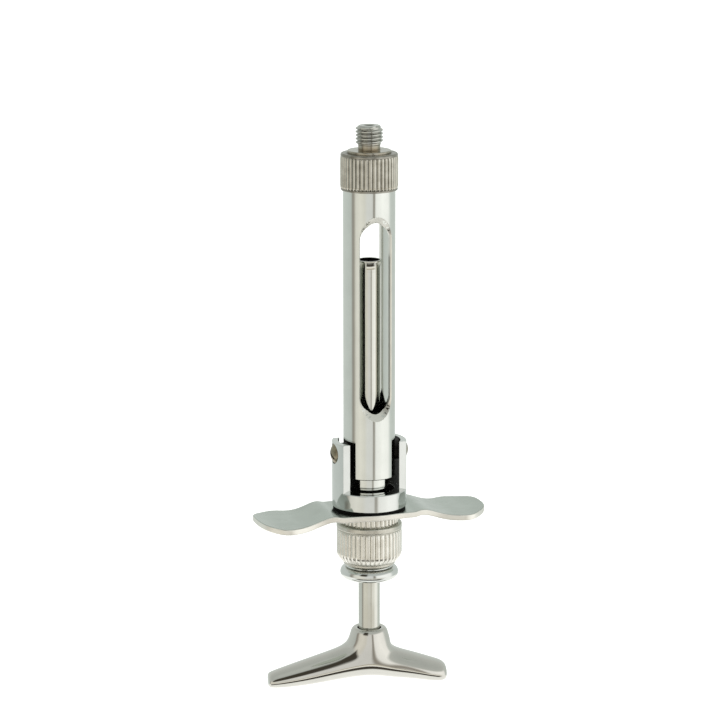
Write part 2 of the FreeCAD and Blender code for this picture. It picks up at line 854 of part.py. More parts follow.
pieces = [make_needle_stud(), make_hub_cap(), make_barrel()]
for side, way in OUT.items():
    pieces.append(make_hinge_boss(side, way))
    pieces.append(make_pivot_screw(side, way))
pieces += [make_yoke(), make_grip_washer(), make_finger_grip(), make_lock_ring()]
pieces += [make_spring_housing(), make_thrust_washer(), make_release_spring()]
pieces += [make_centring_sleeve(), make_rod_bush(), make_pull_collar()]
pieces += [make_piston_rod(), make_piston_head(), make_handle()]
doc.recompute()

for thing in doc.Objects:
    if "Invalid" in thing.State or "Error" in thing.State:
        raise RuntimeError(f"{thing.Name} failed: {thing.State}")

os.makedirs("parts", exist_ok=True)
for piece in pieces:
    shape = piece.Shape
    if shape.isNull() or not shape.isValid() or len(shape.Solids) != 1:
        raise RuntimeError(f"{piece.Label} is not one sound solid")
    shape.exportStep(f"parts/{piece.Label}.step")
    print(f"{piece.Label:18s} {shape.Volume:9.2f} mm3")

print("origin to needle tip", round(size(STUD_TOP), 3))
print("pivot level", round(size(PIVOT), 3), "thread foot", round(size(THREAD_FOOT), 3))
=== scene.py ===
# %% [markdown]
# # An aspirating dental syringe
#
# The syringe is turned, milled and chromed brass. Almost everything that the eye reads on it is a
# reflection, so two things matter most here: surfaces whose normals are exactly right, and a
# studio worth reflecting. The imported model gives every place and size; the pieces below are finer
# versions of its parts, with rounded edges, cut knurls and a real thread.

import math

import bmesh
import bpy
import numpy as np
from mathutils import Matrix, Vector


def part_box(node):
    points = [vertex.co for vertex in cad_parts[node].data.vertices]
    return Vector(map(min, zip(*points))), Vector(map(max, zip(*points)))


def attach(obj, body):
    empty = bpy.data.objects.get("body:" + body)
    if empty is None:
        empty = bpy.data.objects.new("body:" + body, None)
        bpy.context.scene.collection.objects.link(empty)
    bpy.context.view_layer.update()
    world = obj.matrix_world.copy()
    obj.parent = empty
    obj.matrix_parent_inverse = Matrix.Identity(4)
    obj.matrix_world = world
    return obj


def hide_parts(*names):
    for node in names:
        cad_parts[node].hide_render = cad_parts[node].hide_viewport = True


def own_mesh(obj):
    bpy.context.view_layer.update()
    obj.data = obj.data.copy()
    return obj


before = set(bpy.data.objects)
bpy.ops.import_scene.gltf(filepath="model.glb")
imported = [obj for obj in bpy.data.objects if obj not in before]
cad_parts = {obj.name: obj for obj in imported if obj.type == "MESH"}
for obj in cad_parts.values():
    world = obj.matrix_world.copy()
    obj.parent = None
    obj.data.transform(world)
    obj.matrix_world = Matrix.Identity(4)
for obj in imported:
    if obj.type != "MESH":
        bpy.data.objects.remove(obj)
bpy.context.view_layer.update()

# %% [markdown]
# ## Working in millimetres
#
# The unit here is the metre, and a 0.2 mm fillet is easier to write as 0.2. Each mesh is built in
# millimetres and shrunk once, in the helper that makes its object.

# %% Millimetre helpers
MM = 0.001


def span(node):
    """The lowest and highest level of a CAD part, in mm."""
    low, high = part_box(node)
    return low[2] / MM, high[2] / MM


def polar(radius, angle, level):
    """A spot at a distance from Z, on a bearing, at a level."""
    return radius * math.cos(angle), radius * math.sin(angle), level


def place_mesh(name, mesh):
    """An object at the origin for a mesh that is already in metres."""
    mesh.name = name
    piece = bpy.data.objects.new(name, mesh)
    bpy.context.collection.objects.link(piece)
    return piece


def new_piece(name, mesh):
    """Turns a mesh in mm into an object in metres that sits at the origin."""
    mesh.transform(Matrix.Scale(MM, 4))
    return place_mesh(name, mesh)


def fit(piece, body, slot, material, *nodes):
    """Fixes a finished piece to its body, and says which CAD parts it stands for."""
    if material is not None:
        piece.data.materials.clear()
        piece.data.materials.append(material)
    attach(piece, body)
    if nodes:
        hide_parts(*nodes)
    return piece


for node in ("hub_cap", "barrel", "yoke", "handle"):
    print(node, [round(level, 2) for level in span(node)])

# %% [markdown]
# ## Colours and nodes
#
# Swatches are sRGB hex, and shaders work in linear light, so one function converts them. A second
# adds a node, sets it and links it, so each material reads as a list of what the metal has on it.


# %% Colour and node helpers
def linear(swatch):
    """An sRGB hex swatch as linear RGBA."""
    channels = [int(swatch[i : i + 2], 16) / 255 for i in (1, 3, 5)]
    return [c / 12.92 if c <= 0.04045 else ((c + 0.055) / 1.055) ** 2.4 for c in channels] + [1]


NOISE, BUMP, MATH = "ShaderNodeTexNoise", "ShaderNodeBump", "ShaderNodeMath"
RAMP, RANGE = "ShaderNodeValToRGB", "ShaderNodeMapRange"


def add(tree, kind, settings=None, stops=(), **inputs):
    """Adds a node with its properties, its colour stops and its inputs.

    An input has its name, or i0, i1 for its place.  A node given as a value feeds it.
    """
    node = tree.nodes.new(kind)
    for name, value in (settings or {}).items():
        setattr(node, name, value)
    if stops:
        elements = node.color_ramp.elements
        while len(elements) < len(stops):
            elements.new(0.5)
        for element, (position, colour) in zip(elements, stops):
            element.position, element.color = position, colour
    for name, value in inputs.items():
        place = name[1:]
        key = int(place) if name[0] == "i" and place.isdigit() else name.replace("_", " ")
        if isinstance(value, bpy.types.Node):
            value = value.outputs[0]
        if isinstance(value, bpy.types.NodeSocket):
            tree.links.new(value, node.inputs[key])
        else:
            node.inputs[key].default_value = value
    return node


def fresh_material(name):
    """An empty material and its node tree."""
    material = bpy.data.materials.new(name)
    material.use_nodes = True
    material.node_tree.nodes.clear()
    return material, material.node_tree


def surface(tree, **inputs):
    """Ends a material's tree with its surface shader and its output."""
    shader = add(tree, "ShaderNodeBsdfPrincipled", **inputs)
    add(tree, "ShaderNodeOutputMaterial", Surface=shader)


def in_mm(tree, stretch=(1, 1, 1)):
    """Object coordinates in mm, so that a texture's scale is one over its size in mm."""
    place = add(tree, "ShaderNodeTexCoord").outputs["Object"]
    return add(tree, "ShaderNodeMapping", Vector=place, Scale=[1000 * s for s in stretch])


print("white swatch", linear("#ffffff"))

# %% [markdown]
# ## Bright chromium plate
#
# Chromium over nickel, buffed to a mirror. Its own colour is a cool mid grey: it looks white only
# where it reflects something white, and it goes dark quickly where one chromed face sees another.
# Buffing leaves broad, very shallow waves, and handling leaves fine hairlines and a thin film that
# dulls it in patches.


# %% Bright chromium plate
def chromium(name, swatch, rough, edge=0.1):
    """Buffed plate.  rough is its range of roughness, edge the radius of its edges in mm."""
    material, tree = fresh_material(name)
    place = in_mm(tree)
    film = add(tree, NOISE, Vector=place, Scale=0.22, Detail=5.0, Roughness=0.6)
    clean = linear(swatch)
    filmed = [channel * 0.93 for channel in clean[:3]] + [1]
    tint = add(tree, RAMP, stops=[(0.3, clean), (0.75, filmed)], i0=film)
    spread = {"From_Min": 0.35, "From_Max": 0.75, "To_Min": rough[0], "To_Max": rough[1]}
    dulling = add(tree, RANGE, Value=film, **spread)
    # hairlines about 0.12 mm apart and 4 mm long, drawn coarser than the 0.02 mm of real ones
    lines = add(tree, NOISE, Vector=in_mm(tree, (1, 1, 0.03)), Scale=8.0, Detail=2.0)
    waves = add(tree, NOISE, Vector=place, Scale=0.16, Detail=0.0)
    rounding = add(tree, "ShaderNodeBevel", {"samples": 4}, Radius=edge * MM)
    broad = add(tree, BUMP, Height=waves, Normal=rounding, Distance=0.035 * MM, Strength=1.0)
    fine = add(tree, BUMP, Height=lines, Normal=broad, Distance=0.0012 * MM, Strength=0.5)
    surface(tree, Base_Color=tint, Roughness=dulling, Normal=fine, Metallic=1.0)
    return material


barrel_chromium = chromium("bright chromium plate, drawn tube", "#cfd2cd", (0.06, 0.12))
yoke_chromium = chromium("bright chromium plate, milled", "#cdd0cd", (0.05, 0.1))
grip_chromium = chromium("satin chromium plate, pressed", "#b3bab3", (0.16, 0.26))
handle_chromium = chromium("bright chromium plate, forged", "#c6c5bf", (0.05, 0.11), edge=0.06)
# satin, and a brighter swatch than the plate beside it: painted light on the rims
rim_chromium_painted_light = chromium("satin chromium plate, filed rims, painted brighter", "#e2e1da", (0.32, 0.42), edge=0.06)
rod_chromium = chromium("bright chromium plate, ground rod", "#c9cac3", (0.06, 0.12), edge=0.05)
print("chromium finishes:", len([m for m in bpy.data.materials if "chromium" in m.name]))

# %% [markdown]
# ## Satin nickel on the knurled rings
#
# The cap and the two rings are plated without buffing, so that the knurls grip: a warm grey with a
# soft sheen. Each ring has one finish for its ribs and a darker one for its body, so the grooves
# between the ribs carry painted shade. Turning marks run round the axis: noise that is fine
# along Z alone makes them.


# %% Satin nickel
def satin_nickel(name, swatch, stained, rough=(0.2, 0.34)):
    """Unbuffed plate with its clean and its stained swatch and its range of roughness."""
    material, tree = fresh_material(name)
    mottle = add(tree, NOISE, Vector=in_mm(tree), Scale=0.5, Detail=2.0)
    stops = [(0.35, linear(swatch)), (0.75, linear(stained))]
    tint = add(tree, RAMP, stops=stops, i0=mottle)
    spread = {"From_Min": 0.3, "From_Max": 0.7, "To_Min": rough[0], "To_Max": rough[1]}
    sheen = add(tree, RANGE, Value=mottle, **spread)
    # turning marks 0.15 mm apart
    marks = add(tree, NOISE, Vector=in_mm(tree, (0.05, 0.05, 1)), Scale=6.5, Detail=2.0)
    bump = add(tree, BUMP, Height=marks, Distance=0.002 * MM, Strength=0.5)
    surface(tree, Base_Color=tint, Roughness=sheen, Normal=bump, Metallic=1.0)
    return material


# the bodies' swatches are darker than the ribs': painted shade in the grooves between the ribs
cap_rib_nickel = satin_nickel("satin nickel plate, cap ribs", "#bdbbb1", "#a5a297", (0.1, 0.2))
cap_body_nickel_painted_shade = satin_nickel("satin nickel plate, cap body, painted shade", "#94928a", "#7b786d")
ring_rib_nickel = satin_nickel("satin nickel plate, ring ribs", "#dcdbd4", "#cfcdc4")
ring_body_nickel_painted_shade = satin_nickel("satin nickel plate, ring bodies, painted shade", "#c4c3ba", "#b3b1a7")
print("nickel finishes:", len([m for m in bpy.data.materials if "satin nickel" in m.name]))

# %% [markdown]
# ## Worn nickel over brass
#
# Needle hubs are screwed on and off the stud thousands of times. The nickel is thin there, and the
# brass shows through as a warm brown in the thread's roots and at its foot.


# %% Worn nickel over brass
def worn_stud():
    """Brass low on the stud and deep in the thread, nickel on the crests and at the top."""
    material, tree = fresh_material("worn nickel over brass")
    place = in_mm(tree)
    x, y, z = add(tree, "ShaderNodeSeparateXYZ", Vector=place).outputs
    x_squared = add(tree, MATH, {"operation": "MULTIPLY"}, i0=x, i1=x)
    y_squared = add(tree, MATH, {"operation": "MULTIPLY"}, i0=y, i1=y)
    total = add(tree, MATH, {"operation": "ADD"}, i0=x_squared, i1=y_squared)
    radius = add(tree, MATH, {"operation": "SQRT"}, i0=total)
    # the wear ends 2.2 mm below the top, and 2.95 mm from the axis, at the thread's crests
    top = span("needle_stud")[1]
    height = add(tree, RANGE, Value=z, From_Min=top - 5.6, From_Max=top - 2.2)
    depth = add(tree, RANGE, Value=radius, From_Min=2.5, From_Max=2.95)
    mottle = add(tree, NOISE, Vector=place, Scale=1.1, Detail=4.0)
    wear = add(tree, MATH, {"operation": "MULTIPLY_ADD"}, i0=depth, i1=0.35, i2=height)
    kept = {"operation": "MULTIPLY_ADD", "use_clamp": True}
    nickel = add(tree, MATH, kept, i0=mottle, i1=0.5, i2=wear)
    stops = [(0.15, linear("#776a53")), (0.5, linear("#918b7b")), (0.95, linear("#adaea8"))]
    tint = add(tree, RAMP, stops=stops, i0=nickel)
    rough = add(tree, RANGE, Value=mottle, To_Min=0.1, To_Max=0.22)
    grain = add(tree, NOISE, Vector=place, Scale=7.0, Detail=2.0)
    bump = add(tree, BUMP, Height=grain, Distance=0.006 * MM, Strength=0.5)
    surface(tree, Base_Color=tint, Roughness=rough, Normal=bump, Metallic=1.0)
    return material


stud_nickel = worn_stud()
print("stud", stud_nickel.name)

# %% [markdown]
# ## The small finishes
#
# A near-black washer, turned screw steel with dark oxide in the slot, painted shade on the hinge's
# inner faces, spring wire, a white fluoroplastic bush, and painted shade in the dish on the
# piston's head.


# %% Small finishes
def plain_finish(name, light, dark, rough, metallic, scale, depth, specular=0.5):
    """A mottled finish: two swatches, a roughness range, and a bump of one grain size."""
    material, tree = fresh_material(name)
    place = in_mm(tree)
    mottle = add(tree, NOISE, Vector=place, Scale=scale, Detail=4.0)
    tint = add(tree, RAMP, stops=[(0.3, linear(dark)), (0.7, linear(light))], i0=mottle)
    spread = add(tree, RANGE, Value=mottle, To_Min=rough[0], To_Max=rough[1])
    grain = add(tree, NOISE, Vector=place, Scale=scale * 5, Detail=2.0)
    bump = add(tree, BUMP, Height=grain, Distance=depth * MM, Strength=0.5)
    values = {"Metallic": metallic, "Specular_IOR_Level": specular}
    surface(tree, Base_Color=tint, Roughness=spread, Normal=bump, **values)
    return material


# name, light swatch, dark swatch, roughness, metallic, mottle per mm, bump in mm, specular
FINISHES = [
    ("black nitrile rubber", "#0a0a0a", "#040404", (0.8, 0.95), 0.0, 1.0, 0.02, 0.15),
    ("turned screw steel", "#948c78", "#766f5c", (0.22, 0.36), 1.0, 0.9, 0.006),
    ("dark oxide in the slot", "#1c1812", "#0e0b08", (0.6, 0.8), 0.0, 2.0, 0.01, 0.2),
    # painted shade for the gaps beside the barrel: the bosses and the arms' inner faces
    ("dark plate inside the hinge", "#24221d", "#121110", (0.4, 0.6), 0.3, 0.7, 0.01, 0.3),
    ("drawn spring wire", "#93948f", "#6c6c68", (0.25, 0.4), 1.0, 1.2, 0.004),
    ("white fluoroplastic", "#efeee8", "#e2e0d8", (0.4, 0.55), 0.0, 0.6, 0.01),
    # near black: painted shade in the hollow of the piston's head
    ("stained steel dish", "#0b0a09", "#040404", (0.7, 0.85), 0.0, 0.9, 0.01, 0.0),
]
near_black_washer, screw_steel, slot_oxide, hinge_painted_shade, spring_steel, bush_plastic, dish_painted_shade = [
    plain_finish(*finish) for finish in FINISHES
]
print("finishes:", len(bpy.data.materials))

# %% [markdown]
# ## Turning on a lathe
#
# Most pieces are a half section spun about Z. Chrome shows the smallest shading error as a bent
# reflection, so the lathe works out each normal from the section itself: a straight stays
# straight, and each fillet turns smoothly from one to the next. A corner is (radius, level) or
# (radius, level, fillet); the word "soft" marks a point of a curve.


# %% The lathe
def section_points(outline, steps=5):
    """Section points with the normal on the side before and the side after each point."""
    count = len(outline)
    corners = [Vector((p[0], p[1])) for p in outline]
    area = sum(a.x * b.y - b.x * a.y for a, b in zip(corners, corners[1:] + corners[:1]))
    turn = 1 if area > 0 else -1
    normals = []
    for a, b in zip(corners, corners[1:] + corners[:1]):
        along = (b - a).normalized()
        normals.append(Vector((along.y, -along.x)) * turn)
    points = []
    for i, (corner, entry) in enumerate(zip(corners, outline)):
        before, after = normals[i - 1], normals[i]
        size = entry[2] if len(entry) > 2 else 0
        if size == "soft":
            mean = (before + after).normalized()
            points.append((corner, mean, mean))
        elif size:
            half = math.acos(max(-1, min(1, before.dot(after)))) / 2
            back = size * math.tan(half)
            toward = (corners[i - 1] - corner).normalized()
            convex = (before.x * after.y - before.y * after.x) * turn > 0
            start = corner + toward * back
            centre = start - before * size if convex else start + before * size
            for step in range(steps + 1):
                swing = 2 * half * step / steps * (1 if convex else -1) * turn
                c, s = math.cos(swing), math.sin(swing)
                way = Vector((before.x * c - before.y * s, before.x * s + before.y * c))
                spot = centre + way * size if convex else centre - way * size
                points.append((spot, way, way))
        else:
            points.append((corner, before, after))
    return points


def turned(name, *outline, segments=160, steps=5):
    """Spins a closed section about Z into a shell with exact normals."""
    points = section_points(outline, steps)
    angles = [math.tau * k / segments for k in range(segments)]
    on_axis = [spot.x < 1e-6 for spot, _, _ in points]
    vertices, first = [], []
    for (spot, _, _), pole in zip(points, on_axis):
        first.append(len(vertices))
        vertices += [polar(spot.x, a, spot.y) for a in (angles[:1] if pole else angles)]
    faces, loops = [], []
    for i in range(len(points)):
        j = (i + 1) % len(points)
        if on_axis[i] and on_axis[j]:
            continue
        for k in range(segments):
            m = (k + 1) % segments
            # each corner is a point, a place round the ring, and the side whose normal it takes
            corners = [(i, k, 2), (i, m, 2), (j, m, 1), (j, k, 1)]
            corners = [corner for corner in corners if corner[1] == k or not on_axis[corner[0]]]
            faces.append([first[n] + (0 if on_axis[n] else q) for n, q, _ in corners])
            ways = [(points[n][side], angles[q]) for n, q, side in corners]
            loops.append([Vector(polar(way.x, a, way.y)) for way, a in ways])
    ends = zip(points, points[1:] + points[:1])
    area = sum(a[0].x * b[0].y - b[0].x * a[0].y for a, b in ends)
    if area < 0:
        faces = [face[::-1] for face in faces]
        loops = [loop[::-1] for loop in loops]
    mesh = bpy.data.meshes.new(name)
    mesh.from_pydata(vertices, [], faces)
    mesh.polygons.foreach_set("use_smooth", [True] * len(faces))
    mesh.normals_split_custom_set([normal for loop in loops for normal in loop])
    return new_piece(name, mesh)


test = section_points([(1, 0), (2, 0, 0.2), (2, 1, 0.2), (1, 1)])
print("a square section with two fillets has", len(test), "points")

# %% [markdown]
# ## Copies round the axis
#
# Knurls are one rib, repeated. A short Geometry Nodes tree puts points on the axis, gives each its
# share of a full turn, and instances the rib on it. The instances are made real and become a plain
# mesh, because an exporter drops instances.


# %% A tree that repeats a rib round Z
def ring_tree():
    tree = bpy.data.node_groups.new("copies round the axis", "GeometryNodeTree")
    for name, kind in (("Geometry", "Geometry"), ("Count", "Int"), ("Finish", "Material")):
        tree.interface.new_socket(name, in_out="INPUT", socket_type="NodeSocket" + kind)
    tree.interface.new_socket("Geometry", in_out="OUTPUT", socket_type="NodeSocketGeometry")
    piece, count, finish = add(tree, "NodeGroupInput").outputs[:3]
    points = add(tree, "GeometryNodePoints", Count=count)
    index = add(tree, "GeometryNodeInputIndex")
    share = add(tree, MATH, {"operation": "DIVIDE"}, i0=index, i1=count)
    angle = add(tree, MATH, {"operation": "MULTIPLY"}, i0=share, i1=math.tau)
    euler = add(tree, "ShaderNodeCombineXYZ", Z=angle)
    turn = add(tree, "FunctionNodeEulerToRotation", i0=euler)
    placed = {"Points": points, "Instance": piece, "Rotation": turn}
    copies = add(tree, "GeometryNodeInstanceOnPoints", **placed)
    real = add(tree, "GeometryNodeRealizeInstances", Geometry=copies)
    dressed = add(tree, "GeometryNodeSetMaterial", Geometry=real, Material=finish)
    add(tree, "NodeGroupOutput", i0=dressed)
    return tree


around = ring_tree()
sockets = {s.name: s.identifier for s in around.interface.items_tree if s.in_out == "INPUT"}


def as_plain_mesh(piece):
    """The mesh a piece has with its modifiers applied.  The piece itself is removed."""
    graph = bpy.context.evaluated_depsgraph_get()
    mesh = bpy.data.meshes.new_from_object(piece.evaluated_get(graph), depsgraph=graph)
    bpy.data.objects.remove(piece)
    return mesh


def repeated(name, piece, count, finish):
    """Repeats a piece round Z with the tree, and returns the result as a plain mesh object."""
    modifier = piece.modifiers.new("repeat", "NODES")
    modifier.node_group = around
    modifier[sockets["Count"]] = count
    modifier[sockets["Finish"]] = finish
    return place_mesh(name, as_plain_mesh(piece))


print("tree inputs:", [item.name for item in around.interface.items_tree])

# %% [markdown]
# ## One rib of a knurl
#
# Each rib is a long low pillow that follows the ring's outline and rounds off at both ends. Its
# section is half an ellipse, so a band of light runs down every rib, with a dark groove beside it.


# %% A rib
def rib(name, path, width, height, across=9):
    """A pillow on azimuth 0.  path lists (radius, level) of its foot line, evenly spaced."""
    rows = []
    count = len(path)
    for i, (radius, level) in enumerate(path):
        share = i / (count - 1)
        swell = min(1.0, math.sqrt(max(0.0, 1 - (2 * abs(share - 0.5)) ** 10)) + 0.02)
        before, after = path[max(i - 1, 0)], path[min(i + 1, count - 1)]
        along = Vector((after[0] - before[0], after[1] - before[1])).normalized()
        out = Vector((-along.y, along.x))
        out = -out if out.x < 0 else out
        row = []
        for k in range(across):
            swing = math.pi * k / (across - 1)
            side = width / 2 * math.cos(swing) * (0.75 + 0.25 * swell)
            lift = height * math.sin(swing) ** 0.8 * swell
            row.append((radius + out.x * lift, side, level + out.y * lift))
        row.append((radius - 0.25, -width / 2 * 0.7, level))
        row.append((radius - 0.25, width / 2 * 0.7, level))
        rows.append(row)
    return skinned(name, rows, 50)


def skinned(name, rows, sharp):
    """A capped skin over rows of spots, smooth but for edges sharper than an angle in degrees."""
    shape = bmesh.new()
    made = [[shape.verts.new(spot) for spot in row] for row in rows]
    for low, high in zip(made, made[1:]):
        for k in range(len(low)):
            m = (k + 1) % len(low)
            shape.faces.new((low[k], low[m], high[m], high[k]))
    shape.faces.new(made[0][::-1])
    shape.faces.new(made[-1])
    bmesh.ops.recalc_face_normals(shape, faces=shape.faces)
    mark_sharp(shape, sharp)
    mesh = bpy.data.meshes.new(name)
    shape.to_mesh(mesh)
    shape.free()
    return new_piece(name, mesh)


def mark_sharp(shape, degrees):
    """Makes a shape smooth but for the edges sharper than an angle."""
    for face in shape.faces:
        face.smooth = True
    for edge in shape.edges:
        edge.smooth = edge.calc_face_angle(0) < math.radians(degrees)


def stations(points, count):
    """count points evenly spaced along a polyline of (radius, level) points."""
    lengths = [0.0]
    for a, b in zip(points, points[1:]):
        lengths.append(lengths[-1] + math.dist(a, b))
    wanted = np.linspace(0, lengths[-1], count)
    columns = [np.interp(wanted, lengths, [p[axis] for p in points]) for axis in (0, 1)]
    return list(zip(*columns))


def knurl(name, node, line, rows, width, height, count, finish):
    """A ring of ribs that follow a line of (radius, level) points, fixed to the frame."""
    ribs = repeated(name, rib(name, stations(line, rows), width, height), count, finish)
    return fit(ribs, "frame", "satin_nickel", None, node)


print("stations:", stations([(0, 0), (0, 4)], 3))

# %% [markdown]
# ## Needle stud
#
# A short threaded nipple on a flange. The thread is a real helix: a triangular ridge swept round
# the core, fading in and out at its ends as a die leaves it.


# %% Needle stud and its thread
def helix_thread(name, core, crest, pitch, low, high):
    """A ridge of triangular section wound round a core, run out at both ends."""
    per_turn = 72
    run_out = per_turn * 0.2
    steps = int((high - low) / pitch * per_turn)
    half = pitch * 0.47
    rows = []
    for i in range(steps + 1):
        fade = min(1.0, i / run_out, (steps - i) / run_out)
        tip = core + (crest - core) * fade + 0.01
        level = low + pitch * i / per_turn
        section = [(core - 0.12, -half), (core, -half), (tip, -0.11)]
        section += [(radius, -rise) for radius, rise in reversed(section)]
        rows.append([polar(r, math.tau * i / per_turn, level + rise) for r, rise in section])
    return skinned(name, rows, 25)


# sizes that more than one piece has, all in mm: radii, and the thread's pitch
PLUG, SHANK, PITCH = 3.6, 2.45, 0.77
TUBE, BORE, COUNTERBORE = 5.8, 4.55, 5.3
STACK_BORE, ROD, SLEEVE_BORE = 5.2, 2.42, 2.47
stud_foot, stud_top = span("needle_stud")
cap_foot, cap_top = span("hub_cap")
flange_top = cap_top + 0.6
thread_foot = stud_top - 4.26
stud = turned(
    "needle_stud_core",
    (1.1, stud_foot),
    (PLUG, stud_foot),
    (PLUG, cap_top),
    (4.85, cap_top),
    (4.85, flange_top, 0.2),
    (SHANK, flange_top, 0.1),
    (SHANK, thread_foot - 0.05, 0.05),
    (2.56, thread_foot + 0.1, 0.05),
    (2.56, stud_top - 0.3, 0.05),
    (2.3, stud_top, 0.08),
    (1.3, stud_top, 0.06),
    (1.1, stud_top - 0.2, 0.05),
    segments=96,
)
fit(stud, "frame", "needle_stud_nickel", stud_nickel, "needle_stud")
thread_start, thread_end = thread_foot + 0.2, stud_top - 0.36
thread = helix_thread("needle_stud_thread", 2.55, 3.0, PITCH, thread_start, thread_end)
fit(thread, "frame", "needle_stud_nickel", stud_nickel, "needle_stud")
print("thread of", round((thread_end - thread_start) / PITCH, 1), "turns")

# %% [markdown]
# ## Hub cap
#
# A knurled cap closes the barrel and carries the stud. Its ribs are straight and stop just short
# of both ends, where the cap is turned plain.


# %% Hub cap
cap_radius = 6.4
cap = turned(
    "hub_cap_core",
    (COUNTERBORE, cap_foot),
    (cap_radius - 0.12, cap_foot, 0.12),
    (cap_radius - 0.12, cap_foot + 0.4, 0.05),
    (cap_radius - 0.38, cap_foot + 0.6, 0.05),
    (cap_radius - 0.38, cap_top - 0.75, 0.1),
    (cap_radius - 0.06, cap_top - 0.62, 0.12),
    (cap_radius - 0.12, cap_top, 0.35),
    (4.9, cap_top, 0.05),
    (4.9, cap_top - 0.1, 0.05),
    (PLUG, cap_top - 0.1),
    (PLUG, stud_foot),
    (COUNTERBORE, stud_foot),
)
fit(cap, "frame", "satin_nickel", cap_body_nickel_painted_shade, "hub_cap")
rib_foot = cap_radius - 0.36
line = [(rib_foot, cap_foot + 0.18), (rib_foot, cap_top - 0.35)]
cap_ribs = knurl("hub_cap_ribs", "hub_cap", line, 16, 0.78, 0.35, 41, cap_rib_nickel)
print("cap ribs:", len(cap_ribs.data.polygons), "faces")

# %% [markdown]
# ## Barrel and yoke
#
# Everything else keeps its flat shading, and the finish rounds the edges. The windows' rims are
# filed by hand, so they have a satin finish of their own, and a brighter colour that is painted
# light.
# Everything else keeps its flat shading, and the finish rounds the edges. The windows' rims are
# filed by hand, so they have a satin finish of their own.


# %% Copies with true round normals
ROUND_ERROR = 0.012


def true_copy(node, name, radii):
    """A welded copy of a CAD part whose faces on the given radii shade as perfect cylinders."""
    shape = bmesh.new()
    shape.from_mesh(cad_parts[node].data)
    bmesh.ops.remove_doubles(shape, verts=shape.verts, dist=2e-6)
    bmesh.ops.dissolve_degenerate(shape, edges=shape.edges, dist=1e-6)
    mark_sharp(shape, 28)
    mesh = bpy.data.meshes.new(name)
    shape.to_mesh(mesh)
    shape.free()
    normals = [Vector(corner.vector) for corner in mesh.corner_normals]
    rounded_faces = 0
    for face in mesh.polygons:
        spots = [mesh.vertices[index].co for index in face.vertices]
        reach = [math.hypot(spot.x, spot.y) / MM for spot in spots]
        on_one = [radius for radius in radii if all(abs(r - radius) < ROUND_ERROR for r in reach)]
        if not on_one or abs(face.normal.z) > 0.2:
            continue
        rounded_faces += 1
        middle = sum(spots, Vector()) / len(spots)
        side = 1 if face.normal.x * middle.x + face.normal.y * middle.y > 0 else -1
        for loop, spot in zip(face.loop_indices, spots):
            normals[loop] = Vector((spot.x, spot.y, 0)).normalized() * side
    mesh.normals_split_custom_set(normals)
    print(name, len(mesh.polygons), "faces,", rounded_faces, "on true cylinders")
    return place_mesh(name, mesh)


barrel = true_copy("barrel", "barrel_tube", [TUBE, 5.65, BORE, COUNTERBORE])
fit(barrel, "frame", "barrel_chrome", barrel_chromium, "barrel")
# faces off the turned radii, the window rims, get the brighter plate: painted light
barrel.data.materials.append(rim_chromium_painted_light)
for face in barrel.data.polygons:
    off_axis = face.center.xy.length / MM
    turned_face = any(abs(off_axis - radius) < 0.06 for radius in (TUBE, COUNTERBORE, BORE))
    face.material_index = 0 if turned_face else 1
yoke = true_copy("yoke", "yoke_frame", [8.35, 8.2, 7.0, 5.6, STACK_BORE, 4.35])
fit(yoke, "frame", "yoke_chrome", yoke_chromium, "yoke")
yoke.data.materials.append(hinge_painted_shade)
# faces turned towards the axis, and the cup's floor, get the painted shade
for face in yoke.data.polygons:
    off_axis = face.center.xy.length
    inward = face.normal.xy.dot(face.center.xy) < -0.5 * off_axis
    in_cup = face.normal.z > 0.9 and off_axis < 5.6 * MM
    face.material_index = 1 if inward or in_cup else 0

# %% [markdown]
# ## Bosses and pivot screws
#
# A boss on each side of the barrel keeps it clear of the arm, and a slotted screw runs through
# both. The boss and the arm's inner face are painted dark: painted shade in the gap beside the
# barrel. The slot collects dirt, so its faces get the dark oxide: they are the head's faces that
# lie behind its crown.


# %% Bosses and pivot screws
for side in ("left", "right"):
    boss = true_copy(f"hinge_boss_{side}", f"boss_{side}", [])
    # each boss is painted dark all over: painted shade in the gap beside the barrel
    fit(boss, "frame", "yoke_chrome", hinge_painted_shade, f"hinge_boss_{side}")
    screw = true_copy(f"pivot_screw_{side}", f"screw_{side}", [])
    fit(screw, "frame", "screw_steel", screw_steel, f"pivot_screw_{side}")
    screw.data.materials.append(slot_oxide)
    pivot = sum(span(f"pivot_screw_{side}")) / 2
    for face in screw.data.polygons:
        spot = face.center / MM
        off_axis = math.hypot(spot.y, spot.z - pivot)
        in_slot = abs(face.normal.x) < 0.3 and off_axis < 2.1 and abs(spot.x) > 8.5
        on_floor = abs(face.normal.x) > 0.9 and 8.5 < abs(spot.x) < 8.6 and off_axis < 2.0
        face.material_index = 1 if in_slot or on_floor else 0

# %% [markdown]
# ## Washer, lock ring and spring housing
#
# Below the finger grip the stack is screwed together: a knurled lock ring with a plain band, then
# the spring housing, whose ribs run down over its bevelled foot. Inside it is a plain cone, which
# is simpler than the CAD part's chamber: nobody sees it, and the spring's wire cuts into it.


